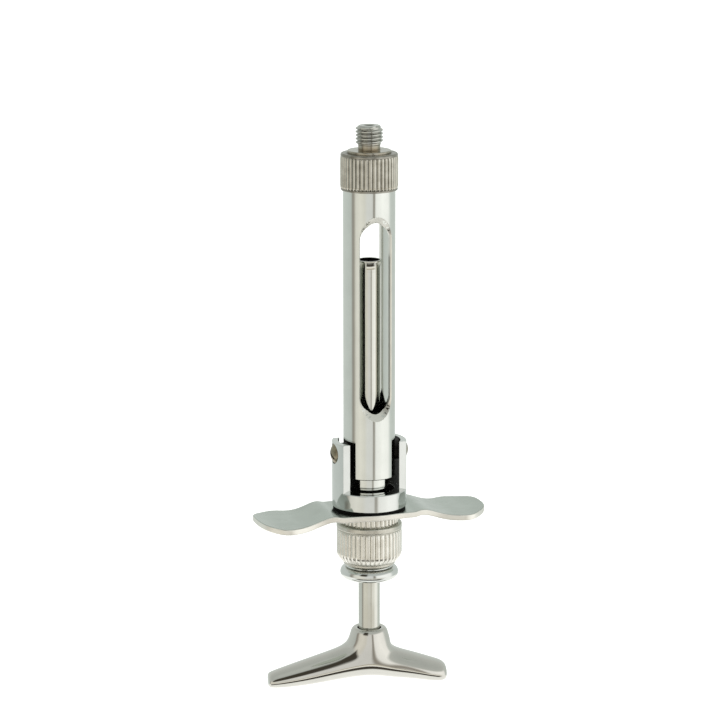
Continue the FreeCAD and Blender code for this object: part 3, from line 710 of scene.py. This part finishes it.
# %% Washer and lock ring
washer_foot, washer_top = span("grip_washer")
washer = turned(
    "grip_washer_ring",
    (STACK_BORE, washer_foot),
    (8.12, washer_foot, 0.1),
    (8.12, washer_top, 0.1),
    (STACK_BORE, washer_top),
)
fit(washer, "frame", "black_washer", near_black_washer, "grip_washer")
lock_foot, lock_top = span("lock_ring")
band_top = lock_foot + 1.19
lock = turned(
    "lock_ring_core",
    (STACK_BORE, lock_foot),
    (7.28, lock_foot, 0.08),
    (7.36, lock_foot + 0.2, 0.1),
    (7.36, band_top, 0.3),
    (6.36, band_top, 0.12),
    (6.28, lock_top),
    (STACK_BORE, lock_top),
)
fit(lock, "frame", "satin_nickel", ring_body_nickel_painted_shade, "lock_ring")
line = [(6.3, band_top + 0.02), (6.3, lock_top - 0.1)]
knurl("lock_ring_ribs", "lock_ring", line, 12, 0.95, 0.3, 36, ring_rib_nickel)
print("lock ring", round(lock_foot, 2), "to", round(lock_top, 2))

# %% Spring housing
housing_foot, housing_top = span("spring_housing")
bevel_foot = housing_foot + 0.56
bevel_top = bevel_foot + 1.85
housing = turned(
    "spring_housing_core",
    (3.25, housing_foot),
    (5.85, housing_foot, 0.2),
    (5.85, bevel_foot, 0.12),
    (5.98, bevel_foot + 0.06, 0.1),
    (7.02, bevel_top, 0.6),
    (7.02, housing_top - 0.3, 0.1),
    (7.3, housing_top - 0.24, 0.08),
    (7.3, housing_top, 0.12),
    (STACK_BORE, housing_top),
)
fit(housing, "frame", "satin_nickel", ring_body_nickel_painted_shade, "spring_housing")
line = [(5.86, bevel_foot + 0.05), (6.9, bevel_top - 0.3), (7.04, bevel_top + 0.25)]
line += [(7.04, housing_top - 0.12)]
knurl("spring_housing_ribs", "spring_housing", line, 30, 1.1, 0.3, 39, ring_rib_nickel)
print("housing", round(housing_foot, 2), "to", round(housing_top, 2))

# %% [markdown]
# ## Centring sleeve and pull collar
#
# The sleeve's nose stands up into the barrel, and its foot carries the beaded collar that two
# fingers draw down. The collar is two beads with a deep groove between them.


# %% Sleeve and collar
def bead(centre, level, radius, start, end, steps):
    """Soft points round part of a bead's section, from one angle to another in degrees."""
    angles = np.radians(np.linspace(start, end, steps))
    return [(centre + radius * math.cos(a), level + radius * math.sin(a), "soft") for a in angles]


sleeve_foot, nose_top = span("centring_sleeve")
nose_foot = nose_top - 3.4
sleeve = turned(
    "centring_sleeve_body",
    (SLEEVE_BORE, sleeve_foot),
    (3.2, sleeve_foot),
    (3.2, nose_top - 8.9),
    (4.3, nose_top - 8.9),
    (4.3, nose_foot, 0.05),
    (4.45, nose_foot + 0.02, 0.1),
    (4.45, nose_top - 0.35, 0.1),
    (4.1, nose_top, 0.1),
    (3.0, nose_top, 0.1),
    (3.0, nose_top - 2.6),
    (3.4, nose_top - 2.6),
    (3.4, nose_top - 4.7),
    (SLEEVE_BORE, nose_top - 4.7),
)
fit(sleeve, "sleeve", "sleeve_chrome", barrel_chromium, "centring_sleeve")
collar_foot, collar_top = span("pull_collar")
collar = turned(
    "pull_collar_beads",
    (SLEEVE_BORE, collar_foot + 0.02, 0.1),
    *bead(5.16, collar_foot + 1.39, 1.39, -88, 88, 26),
    (4.9, collar_foot + 2.74, 0.08),
    (4.72, collar_top - 0.95, 0.1),
    *bead(4.7, collar_top - 0.55, 0.55, -60, 88, 16),
    (SLEEVE_BORE, collar_top),
    steps=6,
)
fit(collar, "sleeve", "collar_chrome", yoke_chromium, "pull_collar")
print("collar", round(collar_foot, 2), "to", round(collar_top, 2))

# %% [markdown]
# ## Piston
#
# A ground rod with a flared head. Its dish is painted near black: painted shade in its hollow.


# %% Rod and head
rod_foot, rod_top = span("piston_rod")
rod_shoulder = rod_foot + 6.9
rod = turned(
    "piston_rod_shaft",
    (0, rod_foot),
    (1.9, rod_foot, 0.2),
    (1.9, rod_shoulder),
    (ROD, rod_shoulder, 0.15),
    (ROD, rod_top),
    (0, rod_top),
    segments=96,
)
fit(rod, "piston", "rod_chrome", rod_chromium, "piston_rod")
head_top = span("piston_head")[1]
flare = []
for share in np.linspace(0, 1, 14):
    level = rod_top + 0.02 + (head_top - 0.3 - rod_top) * share
    flare.append((ROD + 0.002 + 0.43 * share**2.6, level, "soft"))
head = turned(
    "piston_head_flare",
    (0, rod_top),
    (ROD, rod_top),
    *flare,
    (2.86, head_top - 0.05, 0.05),
    (2.74, head_top, 0.05),
    (2.4, head_top - 0.02, 0.1),
    segments=96,
)
fit(head, "piston", "rod_chrome", rod_chromium, "piston_head")
# the dish is painted near black: painted shade in the head's hollow
dish = turned(
    "piston_head_dish",
    (0, head_top - 0.3),
    (2.62, head_top - 0.3),
    (2.62, head_top - 0.02, 0.02),
    (2.3, head_top - 0.06, "soft"),
    (0, head_top - 0.22),
    segments=96,
)
fit(dish, "piston", "rod_chrome", dish_painted_shade, "piston_head")
print("head", round(rod_top, 2), "to", round(head_top, 2))

# %% [markdown]
# ## Finger grip
#
# A strip of plate with two broad pads, bent down on each side and filed round at its rim. The plan
# is one closed curve. Every ring of the rim is that curve moved inwards a little, and the level at
# any spot depends on its distance from the middle alone. Unlike the CAD part, the plate has no
# hole in its hub: the sleeve and the rod pass straight through it, where the washer and the lock
# ring hide it.


# %% Curves for the grip
def hermite(u, start, start_slope, end, end_slope):
    """A cubic between two values with their slopes, for u from 0 to 1."""
    rise = 3 * u**2 - 2 * u**3
    bulge = (u**3 - 2 * u**2 + u) * start_slope + (u**3 - u**2) * end_slope
    return (1 - rise) * start + rise * end + bulge


def closed_spline(points, samples):
    """Spots and outward directions on a smooth closed curve through the points."""
    spots = np.array(points, float)
    count = len(spots)
    steps = np.linalg.norm(np.roll(spots, -1, axis=0) - spots, axis=1)
    system, right = np.zeros((count, count)), np.zeros((count, 2))
    for i in range(count):
        h0, h1 = steps[i - 1], steps[i]
        system[i, i - 1] += h1
        system[i, i] += 2 * (h0 + h1)
        system[i, (i + 1) % count] += h0
        before = (spots[i] - spots[i - 1]) / h0
        after = (spots[(i + 1) % count] - spots[i]) / h1
        right[i] = 3 * (before * h1 + after * h0)
    slopes = np.linalg.solve(system, right)
    knots = np.concatenate([[0], np.cumsum(steps)])
    places, ways = [], []
    for t in np.linspace(0, knots[-1], samples, endpoint=False):
        i = min(np.searchsorted(knots, t, side="right") - 1, count - 1)
        h = steps[i]
        u = (t - knots[i]) / h
        a, b = spots[i], spots[(i + 1) % count]
        ma, mb = slopes[i] * h, slopes[(i + 1) % count] * h
        places.append(hermite(u, a, ma, b, mb))
        way = 6 * (u - u**2) * (b - a) + (3 * u**2 - 4 * u + 1) * ma + (3 * u**2 - 2 * u) * mb
        way = way / np.linalg.norm(way)
        ways.append(np.array([way[1], -way[0]]))
    return places, ways


DROP = span("lock_ring")[1]
# the bend's knots: distance from the middle, level of the underside
HUB, FLAT, TIP, END = 8.2, 18.2, 21.2, 27.5
TIP_LIFT = 1.2
BEND = [(HUB, DROP), (10.0, DROP + 0.3), (12.2, DROP - 0.05), (14.8, 0.35 * DROP), (FLAT, 0.0)]
OUT, LEVEL = np.array(BEND).T


def bend_slopes():
    """Slopes of the smooth curve through the bend's knots, level at both ends."""
    h, count = np.diff(OUT), len(OUT)
    steepness = np.diff(LEVEL) / h
    system, right = np.eye(count), np.zeros(count)
    for i in range(1, count - 1):
        system[i, i - 1 : i + 2] = h[i], 2 * (h[i - 1] + h[i]), h[i - 1]
        right[i] = 3 * (steepness[i - 1] * h[i] + steepness[i] * h[i - 1])
    return np.linalg.solve(system, right)


SLOPES = bend_slopes()


def underside(x):
    """Level of the plate's underside at a distance x from the middle."""
    x = abs(x)
    if x <= HUB:
        return DROP
    if x >= FLAT:
        return TIP_LIFT * (max(x - TIP, 0) / (END - TIP)) ** 2
    i = int(np.searchsorted(OUT, x, side="right") - 1)
    h = OUT[i + 1] - OUT[i]
    return hermite((x - OUT[i]) / h, LEVEL[i], SLOPES[i] * h, LEVEL[i + 1], SLOPES[i + 1] * h)


print("underside at 12 mm:", round(float(underside(12)), 2))


# %% Build the grip
def make_grip(name, fillet=0.28, samples=512, thickness=1.35):
    quarter = [(0, 8.2), (5.0, 7.75), (10.5, 7.35), (14.0, 7.1), (17.5, 7.85), (20.6, 8.7)]
    quarter += [(23.9, 7.0), (25.9, 4.35), (26.5, 0)]
    plan = quarter + [(x, -y) for x, y in reversed(quarter[:-1])]
    plan += [(-x, -y) for x, y in quarter[1:]] + [(-x, y) for x, y in reversed(quarter[1:-1])]
    places, ways = closed_spline(plan, samples)
    if sum(p[0] * w[0] + p[1] * w[1] for p, w in zip(places, ways)) < 0:
        ways = [-w for w in ways]
    levels = []
    for side, start, end in ((1, math.pi / 2, 0), (-1, 0, -math.pi / 2)):
        for a in np.linspace(start, end, 6):
            height = side * (thickness / 2 - fillet) + fillet * math.sin(a)
            levels.append((fillet * (1 - math.cos(a)), height, a))
    vertices, normals = [], []
    for inset, height, a in levels:
        for place, way in zip(places, ways):
            x, y = place - way * inset
            middle = float(underside(x)) + thickness / 2
            slope = (float(underside(x + 0.01)) - float(underside(x - 0.01))) / 0.02
            up = Vector((-slope, 0, 1)).normalized()
            vertices.append((x, y, middle + height))
            normals.append(Vector((way[0], way[1], 0)) * math.cos(a) + up * math.sin(a))
    faces = []
    for ring in range(len(levels) - 1):
        for k in range(samples):
            m = (k + 1) % samples
            low, high = (ring + 1) * samples, ring * samples
            faces.append((high + k, high + m, low + m, low + k))
    # the flat faces run straight across, from one side's rim to the other's
    last = (len(levels) - 1) * samples
    side = samples // 4
    for start, flip in ((0, False), (last, True)):
        for k in range(samples // 2):
            around_strip = (side + k, side + k + 1, side - k - 1, side - k)
            corners = list(dict.fromkeys(start + place % samples for place in around_strip))
            if len(corners) > 2:
                faces.append(tuple(corners[::-1] if flip else corners))
    mesh = bpy.data.meshes.new(name)
    mesh.from_pydata(vertices, [], faces)
    mesh.update()
    shape = bmesh.new()
    shape.from_mesh(mesh)
    bmesh.ops.recalc_face_normals(shape, faces=shape.faces)
    shape.to_mesh(mesh)
    shape.free()
    mesh.polygons.foreach_set("use_smooth", [True] * len(mesh.polygons))
    corner_normals = [normals[loop.vertex_index].normalized() for loop in mesh.loops]
    mesh.normals_split_custom_set(corner_normals)
    return new_piece(name, mesh)


grip = make_grip("finger_grip_plate")
fit(grip, "frame", "grip_chrome", grip_chromium, "finger_grip")
# the grip's side faces get the brighter plate: painted light along the rim
grip.data.materials.append(rim_chromium_painted_light)
for face in grip.data.polygons:
    face.material_index = 1 if abs(face.normal.z) < 0.75 else 0
print("grip", len(grip.data.polygons), "faces")

# %% [markdown]
# ## T-handle
#
# A forging: two drooping arms and a flared socket that melt into each other. Such a shape suits a
# subdivision surface. Its cage has eight-sided arms; the four faces on top, in the middle, are
# left out, and their eight corners carry on as the rings of the socket and of the hole down its
# middle.

# %% Handle
# stations along the arms: reach, centre below the handle's top, half height, half width
ARMS = [
    (-23.15, -11.95, 1.2, 2.4), (-22.7, -11.9, 1.65, 3.1), (-20.7, -11.6, 2.05, 3.5),
    (-15.2, -10.5, 2.8, 4.2), (-9.8, -9.2, 3.25, 4.7), (-5.6, -8.15, 3.65, 5.0),
    (0.0, -7.75, 3.35, 5.1), (4.9, -8.5, 3.45, 4.9), (9.8, -9.4, 2.95, 4.9),
    (14.0, -10.5, 2.6, 4.7), (16.7, -11.0, 2.3, 4.0), (17.75, -11.2, 1.35, 2.6),
]  # fmt: skip
# rings of the socket and its bore: radius, level below the handle's top
SOCKET = [
    (4.75, -2.9), (4.35, -1.6), (4.1, -0.6), (3.6, -0.02), (3.1, 0.0),
    (2.68, -0.12), (2.65, -0.5), (2.65, -1.4), (2.65, -1.48), (1.95, -1.5),
    (1.95, -1.7), (1.95, -8.3), (1.9, -8.6),
]  # fmt: skip
EIGHTH = math.tau / 8
# an eight-sided ring has to be this much wider than the circle it should become
CAGE = 1.108
# half the depth of the socket's foot in mm, and the handle's turn against the grip in degrees
SOCKET_REACH, HANDLE_TURN = 5.35, -11.5
handle_top = span("handle")[1]


def make_handle(name):
    shape = bmesh.new()
    middle = 6
    rows = []
    for x, level, high, wide in ARMS:
        row = []
        for k in range(8):
            y = CAGE * wide * math.cos(EIGHTH * k)
            z = handle_top + level + CAGE * high * math.sin(EIGHTH * k)
            row.append(shape.verts.new((x, y, z)))
        rows.append(row)
    for i in range(len(rows) - 1):
        for k in range(8):
            if i in (middle - 1, middle) and k in (1, 2):
                continue
            m = (k + 1) % 8
            shape.faces.new((rows[i][k], rows[i][m], rows[i + 1][m], rows[i + 1][k]))
    shape.faces.new(rows[0][::-1])
    shape.faces.new(rows[-1])
    shape.verts.remove(rows[middle][2])
    # the socket's front and back run straight down into the arms, without a waist
    rows[middle][1].co.y, rows[middle][3].co.y = SOCKET_REACH, -SOCKET_REACH
    left, centre, right = rows[middle - 1], rows[middle], rows[middle + 1]
    below = [right[2], right[1], centre[1], left[1], left[2], left[3], centre[3], right[3]]
    for radius, level in SOCKET:
        spots = [polar(CAGE * radius, EIGHTH * k, handle_top + level) for k in range(8)]
        ring = [shape.verts.new(spot) for spot in spots]
        for k in range(8):
            m = (k + 1) % 8
            shape.faces.new((below[k], below[m], ring[m], ring[k]))
        below = ring
    shape.faces.new(below)
    bmesh.ops.recalc_face_normals(shape, faces=shape.faces)
    for face in shape.faces:
        face.smooth = True
    cage = bpy.data.meshes.new(name)
    shape.to_mesh(cage)
    shape.free()
    blank = place_mesh(name, cage)
    forging = blank.modifiers.new("forging", "SUBSURF")
    forging.levels = forging.render_levels = 4
    mesh = as_plain_mesh(blank)
    mesh.transform(Matrix.Rotation(math.radians(HANDLE_TURN), 4, "Z"))
    return new_piece(name, mesh)


handle = make_handle("handle_forging")
fit(handle, "handle", "handle_chrome", handle_chromium, "handle")
print("handle", len(handle.data.polygons), "faces")

# %% [markdown]
# ## Release spring
#
# The spring is shut in the housing and seen only in a cutaway. It is a wire wound in seven turns.
# When the collar is drawn down the sleeve squeezes the spring against its seat.


# %% Release spring
def wound_wire(name, coil, wire, turns, low, high):
    """A round wire wound as a helix between two levels."""
    per_turn, sides = 40, 10
    steps = turns * per_turn
    swings = [math.tau * k / sides for k in range(sides)]
    rows = []
    for i in range(steps + 1):
        angle = math.tau * i / per_turn
        level = low + wire + (high - low - 2 * wire) * i / steps
        section = [(coil + wire * math.cos(a), level + wire * math.sin(a)) for a in swings]
        rows.append([polar(radius, angle, height) for radius, height in section])
    return skinned(name, rows, 50)


spring_foot, spring_top = span("release_spring")
spring = wound_wire("release_spring_wire", 3.78, 0.3, 7, spring_foot, spring_top)
fit(spring, "frame", "spring_steel", spring_steel, "release_spring")
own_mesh(spring)

# %% [markdown]
# ## Parts inside
#
# The thrust washer under the spring and the rod's bush are shut in as well. The CAD shapes are
# right, so they only get their finishes.

# %% Finishes for the CAD parts that stay
for node, finish in (("thrust_washer", spring_steel), ("rod_bush", bush_plastic)):
    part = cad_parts[node]
    for place in range(len(part.data.materials)):
        part.data.materials[place] = finish
    print(node, "has", finish.name)

# %% [markdown]
# ## The studio
#
# The background is plain white. What the chrome sees is a light tent: white cloth on the right, a
# cream reflector on the left, a grey-green wall behind, and dark gaps between the cloths. Below
# the camera the white table ends in a dark edge, and the photographer stands dark above and to the
# left. The tent is the world's own shader, which works from a direction's bearing and height.

# %% Camera
BEARING = math.radians(-18)
LIFT = math.radians(13.2)
DISTANCE = 0.7
target = Vector((0, 0, 26.18)) * MM
outward = Vector(
    (math.sin(BEARING) * math.cos(LIFT), -math.cos(BEARING) * math.cos(LIFT), math.sin(LIFT))
)
lens = bpy.data.cameras.new("camera")
camera = bpy.data.objects.new("camera", lens)
bpy.context.collection.objects.link(camera)
camera.location = target + outward * DISTANCE
camera.rotation_euler = (-outward).to_track_quat("-Z", "Y").to_euler()
lens.lens = 157.0
lens.sensor_width = 36
lens.shift_x = -9.2 / 720
lens.shift_y = 45 / 720
lens.clip_start = 0.01
bpy.context.scene.camera = camera
print("camera at", [round(c, 3) for c in camera.location])


# %% Light tent
def bearing_stop(degrees, grey, tint=(1, 1, 1)):
    """A stop at a bearing round the camera."""
    return (degrees + 180) / 360, [grey * t for t in tint] + [1]


def height_stop(degrees, *colour):
    """A stop at an elevation: the height of a direction is the elevation's sine."""
    colour = colour * 3 if len(colour) == 1 else colour
    return (math.sin(math.radians(degrees)) + 1) / 2, [*colour, 1]


GREEN, BROWN = (0.95, 1.0, 0.96), (1.0, 0.93, 0.82)
CREAM, PAPER = (1.0, 0.965, 0.88), (1.0, 0.99, 0.965)
DARK = (0.05, 0.045, 0.035)
# bearing in degrees, grey, tint
WALLS = [
    (-180, 0.52, GREEN), (-112, 0.54, GREEN), (-86, 0.50, GREEN), (-77, 0.27, BROWN),
    (-70, 0.34, BROWN), (-60, 0.66, CREAM), (-40, 0.74, CREAM), (-20, 0.66, CREAM),
    (-8, 0.66, PAPER), (14, 0.64, PAPER), (19, 0.27, BROWN), (23, 0.30, BROWN),
    (30, 0.84, PAPER), (60, 0.96, PAPER), (92, 0.90, PAPER), (108, 0.58, GREEN),
    (140, 0.52, GREEN), (180, 0.52, GREEN),
]  # fmt: skip
# elevation in degrees, red, green, blue; or elevation and grey
TABLE_AND_ROOF = [
    (-90, 0.88, 0.88, 0.86), (-26, 0.92, 0.91, 0.88), (26, 0.50, 0.51, 0.49),
    (60, 0.42, 0.44, 0.42), (90, 0.52, 0.54, 0.52),
]  # fmt: skip
NEAR_EDGE = [
    (-90, 0.9, 0.9, 0.88), (-62, 0.86, 0.86, 0.83), (-54, *DARK), (-36, *DARK),
    (-31, 0.9, 0.88, 0.83), (-25, 0.85, 0.82, 0.74), (-20, 0.3, 0.26, 0.2),
    (-16, 0.7, 0.68, 0.62),
]  # fmt: skip
world = bpy.data.worlds.new("light tent")
bpy.context.scene.world = world
world.use_nodes = True
sky = world.node_tree
sky.nodes.clear()
direction = add(sky, "ShaderNodeTexCoord").outputs["Generated"]
forward = (math.sin(BEARING), -math.cos(BEARING), 0)
rightward = (math.cos(BEARING), math.sin(BEARING), 0)
ahead, aside = [
    add(sky, "ShaderNodeVectorMath", {"operation": "DOT_PRODUCT"}, i0=direction, i1=way)
    for way in (forward, rightward)
]
sides = {"i0": aside.outputs["Value"], "i1": ahead.outputs["Value"]}
angle = add(sky, MATH, {"operation": "ARCTAN2"}, **sides)
bearing = add(sky, MATH, {"operation": "MULTIPLY_ADD"}, i0=angle, i1=1 / math.tau, i2=0.5)
height = add(sky, "ShaderNodeSeparateXYZ", Vector=direction).outputs[2]
zone = add(sky, RANGE, Value=height, From_Min=-1.0, From_Max=1.0)


def round_ramp(stops):
    return add(sky, RAMP, stops=[bearing_stop(*stop) for stop in stops], i0=bearing)


def height_ramp(stops):
    return add(sky, RAMP, stops=[height_stop(*stop) for stop in stops], i0=zone)


walls, table_and_roof = round_ramp(WALLS), height_ramp(TABLE_AND_ROOF)
belt = height_ramp([(-26, 0), (-19, 1), (22, 1), (34, 0)])
# the table's near edge, below the camera, with the dark room under it
near_edge = height_ramp(NEAR_EDGE)
in_front = round_ramp([(-75, 0), (-50, 1), (50, 1), (75, 0)])
below = height_ramp([(-18, 1), (-14.5, 0)])
# the photographer, left of the camera and above it
figure_side = round_ramp([(-44, 0), (-36, 1), (-12, 1), (-4, 0)])
figure_height = height_ramp([(16, 0), (24, 1), (54, 1), (64, 0)])
edge_share = add(sky, MATH, {"operation": "MULTIPLY"}, i0=in_front, i1=below)
figure_share = add(sky, MATH, {"operation": "MULTIPLY"}, i0=figure_side, i1=figure_height)
tent = table_and_roof
for share, over in ((belt, walls), (edge_share, near_edge), (figure_share, (*DARK, 1))):
    layer = add(sky, "ShaderNodeMix", {"data_type": "RGBA"}, i0=share, i6=tent, i7=over)
    tent = layer.outputs[2]
seen = add(sky, "ShaderNodeBackground", Color=(1, 1, 1, 1), Strength=1.0)
reflected = add(sky, "ShaderNodeBackground", Color=tent, Strength=1.55)
from_camera = add(sky, "ShaderNodeLightPath").outputs["Is Camera Ray"]
both = add(sky, "ShaderNodeMixShader", i0=from_camera, i1=reflected, i2=seen)
add(sky, "ShaderNodeOutputWorld", Surface=both)
print("light tent ready")

# %% [markdown]
# ## Floor
#
# A pale floor lies under the handle, low enough for the piston to be drawn right back. It is white
# enough to meet the background without an edge.

# %% Floor
# half the floor's side in metres, and how far down it lies to clear the drawn piston, in mm
REACH, CLEARANCE = 3.0, 54
floor_level = (span("handle")[0] - CLEARANCE) * MM
floor_mesh = bpy.data.meshes.new("floor")
quarters = [(-REACH, -REACH), (REACH, -REACH), (REACH, REACH), (-REACH, REACH)]
floor_mesh.from_pydata([(x, y, floor_level) for x, y in quarters], [], [(0, 1, 2, 3)])
floor = place_mesh("floor", floor_mesh)
paper, tree = fresh_material("matt white paper")
grain = add(tree, NOISE, Vector=in_mm(tree), Scale=0.3, Detail=3.0)
shade = add(tree, RAMP, stops=[(0.3, [0.97, 0.97, 0.97, 1]), (0.7, [1, 1, 1, 1])], i0=grain)
glow = {"Emission_Color": (1, 1, 1, 1), "Emission_Strength": 0.6}
surface(tree, Base_Color=shade, Roughness=0.9, **glow)
floor.data.materials.append(paper)
floor.visible_glossy = False
scene = bpy.context.scene
scene.view_settings.view_transform = "Standard"
scene.view_settings.look = "None"
print("floor at", round(floor_level, 4))
